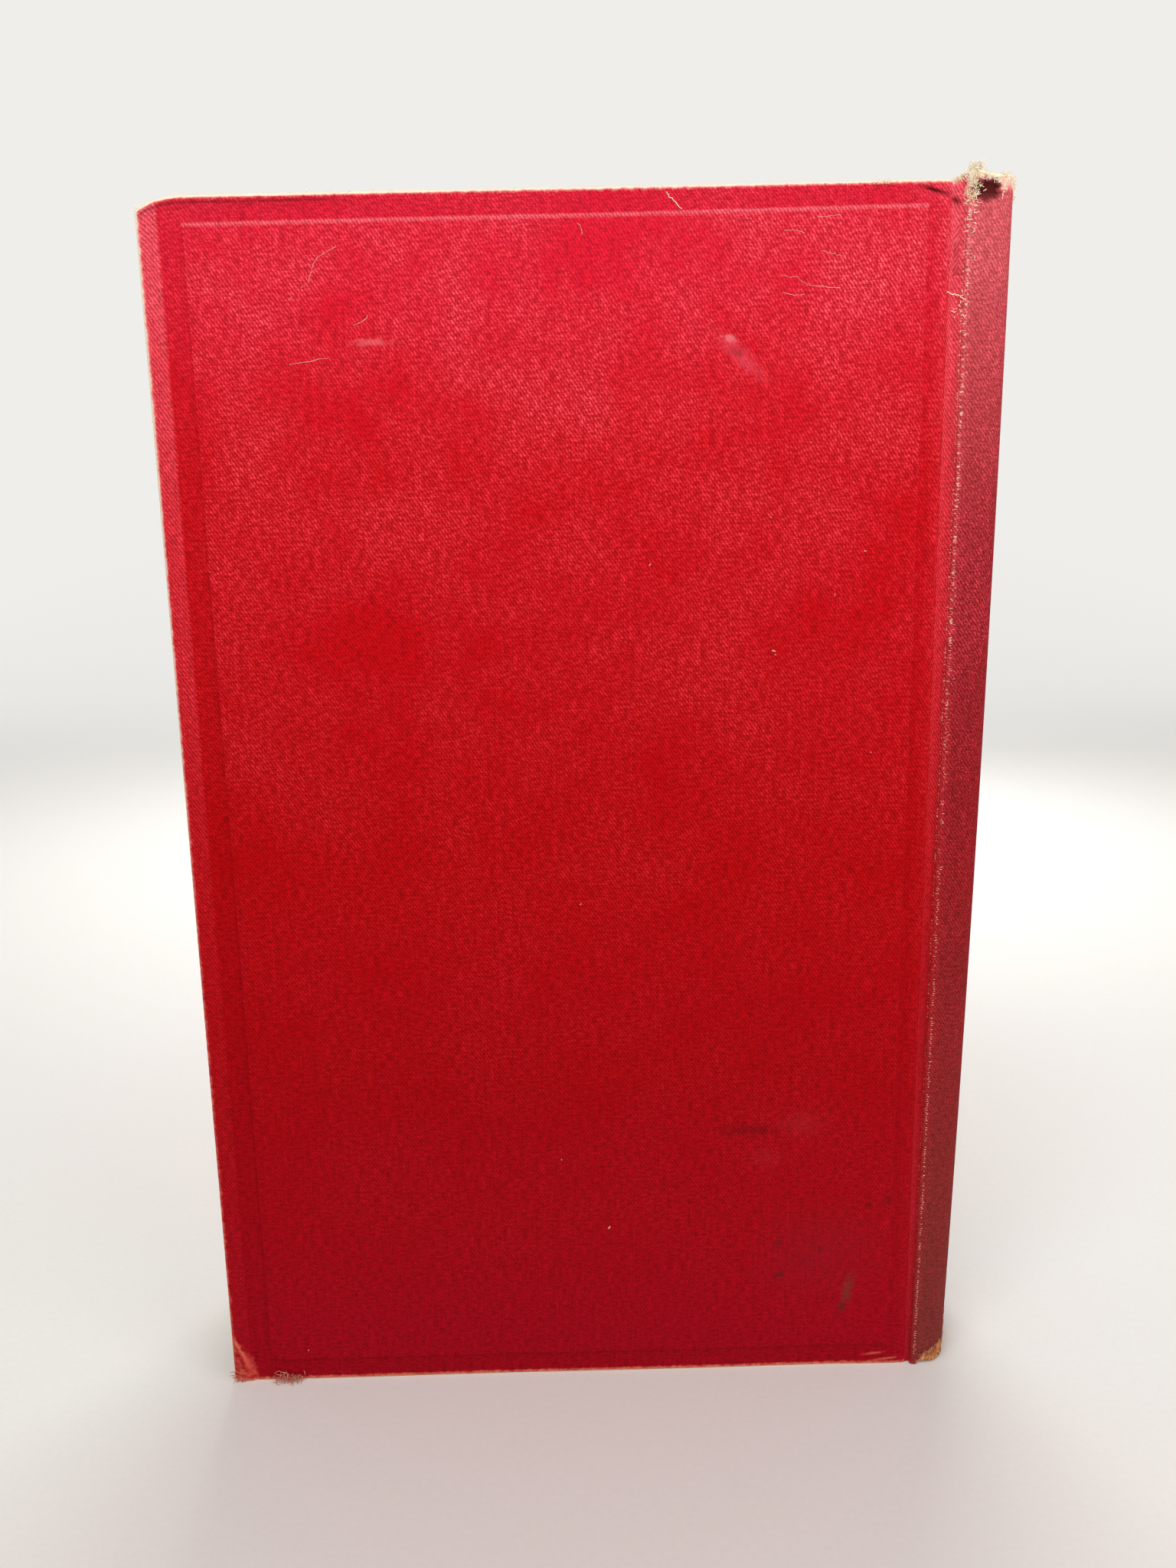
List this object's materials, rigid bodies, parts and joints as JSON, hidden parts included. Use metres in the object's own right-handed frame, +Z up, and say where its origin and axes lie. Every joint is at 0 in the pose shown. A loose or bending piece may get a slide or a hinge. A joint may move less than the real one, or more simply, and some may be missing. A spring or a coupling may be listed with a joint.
{
  "type": "hardback book",
  "caption": "Worn cloth-bound hardback book standing on its tail, with hinged boards, rounded and backed spine, blind-stamped frame and frayed ends.",
  "frame": {"origin": "on the surface that the book stands on, under the middle of its box", "axes": "+Z up from tail to head, +X from the fore edge to the spine, +Y from the back cover to the front cover"},
  "size_m": [0.1504, 0.0382, 0.222],
  "materials": {
    "book_cloth": "woven cotton book cloth, starched and dyed red",
    "spine_cloth": "the same cloth, faded and rubbed",
    "grey_board": "rolled grey board",
    "spine_card": "thin brown card",
    "text_paper": "toned book paper, cut edges",
    "endpaper": "toned endpaper",
    "kraft_paper": "brown lining paper",
    "mull_gauze": "open starched gauze",
    "band_cotton": "woven cotton band"
  },
  "bodies": {
    "book_block": {"text_block": "text_paper", "back_flyleaf": "endpaper", "front_flyleaf": "endpaper", "spine_mull": "mull_gauze", "spine_lining": "kraft_paper", "head_band": "band_cotton", "tail_band": "band_cotton", "spine_inlay": "spine_card", "spine_cloth": "spine_cloth"},
    "back_cover": {"back_board": "grey_board", "back_cloth": "book_cloth", "back_mull_flange": "mull_gauze", "back_pastedown": "endpaper"},
    "front_cover": {"front_board": "grey_board", "front_cloth": "book_cloth", "front_mull_flange": "mull_gauze", "front_pastedown": "endpaper"}
  },
  "joints": [
    {"name": "back_cover_hinge", "type": "hinge", "parent": "book_block", "child": "back_cover", "pos_m": [0.06144, -0.01935, 0.111], "axis": [0, 0, 1], "range_deg": [0, 180]},
    {"name": "front_cover_hinge", "type": "hinge", "parent": "book_block", "child": "front_cover", "pos_m": [0.06144, 0.01935, 0.111], "axis": [0, 0, -1], "range_deg": [0, 180]}
  ]
}
